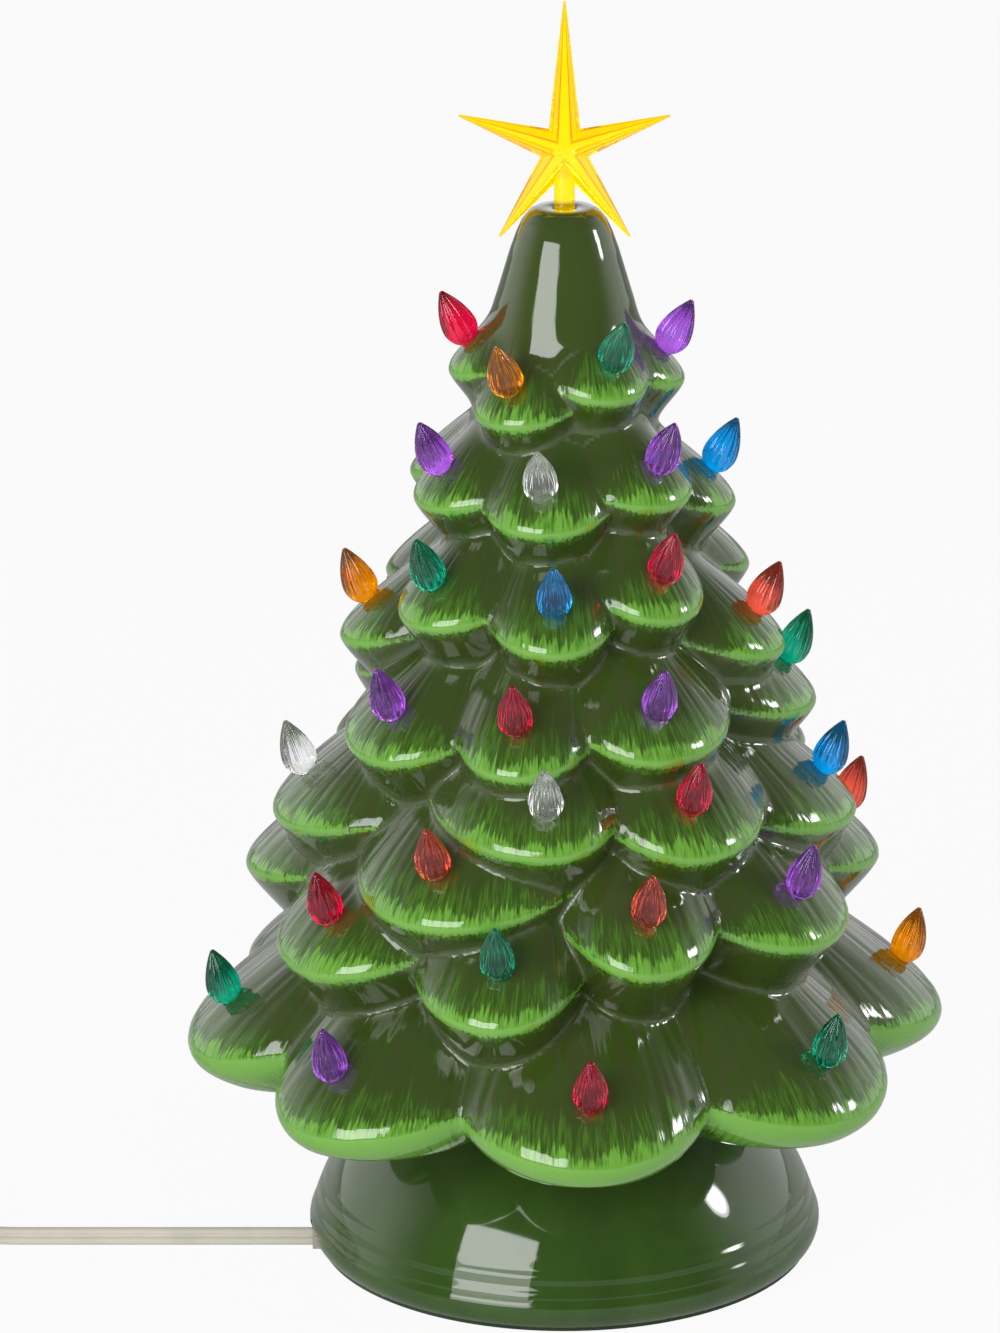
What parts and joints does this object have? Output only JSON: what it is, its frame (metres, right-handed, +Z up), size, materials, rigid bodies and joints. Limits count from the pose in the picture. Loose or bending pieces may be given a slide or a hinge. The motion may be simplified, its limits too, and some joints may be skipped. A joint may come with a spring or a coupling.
{
  "type": "ceramic christmas tree",
  "caption": "Lighted table-top ceramic christmas tree with drooping branches, coloured bulbs and a star, on a domed base with a cord, an in-line switch and a plug.",
  "frame": {"origin": "middle of the foot of the base, on the table", "axes": "+Z up along the trunk, -Y to the front that the picture shows, cord to -X"},
  "size_m": [0.412, 0.2614, 0.381],
  "materials": {
    "green_glaze": "glossy green glaze, light on the branch tips",
    "base_glaze": "glossy dark olive glaze",
    "star_yellow": "translucent yellow",
    "bulb_red": "translucent red",
    "bulb_coral": "translucent coral",
    "bulb_orange": "translucent amber",
    "bulb_green": "translucent teal green",
    "bulb_blue": "translucent blue",
    "bulb_purple": "translucent purple",
    "bulb_clear": "clear",
    "felt": "felt",
    "grommet_rubber": "matt",
    "phenolic": "dark moulded",
    "spring_steel": "plain",
    "brass": "plain",
    "lamp_glass": "clear",
    "cord_ivory": "ivory vinyl",
    "plug_ivory": "ivory moulded",
    "rocker_brown": "moulded",
    "tie": "twist tie"
  },
  "bodies": {
    "base": {"centre_contact": "brass", "ceramic_base": "base_glaze", "coil_tie": "tie", "cord_coil": "cord_ivory", "cord_grommet": "grommet_rubber", "cord_lead": "cord_ivory", "cord_run": "cord_ivory", "cord_tail": "cord_ivory", "felt_ring": "felt", "inner_lead": "cord_ivory", "lamp_socket": "phenolic", "plug_blades": "brass", "plug_body": "plug_ivory", "screw_shell": "brass", "socket_clips": "spring_steel", "switch_lower": "plug_ivory", "switch_screws": "spring_steel", "switch_upper": "plug_ivory"},
    "tree": {"tree_crown": "green_glaze", "tree_row_2": "green_glaze", "tree_row_3": "green_glaze", "tree_row_4": "green_glaze", "tree_row_5": "green_glaze", "tree_row_6": "green_glaze", "tree_skirt": "green_glaze", "bulbs_lower_blue": "bulb_blue", "bulbs_lower_clear": "bulb_clear", "bulbs_lower_coral": "bulb_coral", "bulbs_lower_green": "bulb_green", "bulbs_lower_orange": "bulb_orange", "bulbs_lower_purple": "bulb_purple", "bulbs_lower_red": "bulb_red", "bulbs_middle_blue": "bulb_blue", "bulbs_middle_clear": "bulb_clear", "bulbs_middle_coral": "bulb_coral", "bulbs_middle_green": "bulb_green", "bulbs_middle_orange": "bulb_orange", "bulbs_middle_purple": "bulb_purple", "bulbs_middle_red": "bulb_red", "bulbs_upper_blue": "bulb_blue", "bulbs_upper_clear": "bulb_clear", "bulbs_upper_green": "bulb_green", "bulbs_upper_orange": "bulb_orange", "bulbs_upper_purple": "bulb_purple", "bulbs_upper_red": "bulb_red"},
    "star": {"star_topper": "star_yellow"},
    "lamp": {"lamp_cap": "brass", "lamp_insulator": "phenolic", "lamp_glass": "lamp_glass", "lamp_filament": "spring_steel"},
    "rocker": {"switch_rocker": "rocker_brown"}
  },
  "joints": [
    {"name": "tree_lift", "type": "slide", "parent": "base", "child": "tree", "axis": [0, 0, 1], "range_m": [0, 0.1]},
    {"name": "star_pull", "type": "slide", "parent": "tree", "child": "star", "axis": [0, 0, 1], "range_m": [0, 0.03]},
    {"name": "lamp_unscrew", "type": "slide", "parent": "base", "child": "lamp", "axis": [0, 0, 1], "range_m": [0, 0.03]},
    {"name": "rocker_tilt", "type": "hinge", "parent": "base", "child": "rocker", "pos_m": [-0.211, -0.01, 0.009], "axis": [0, 1, 0], "range_deg": [0, 14]}
  ]
}
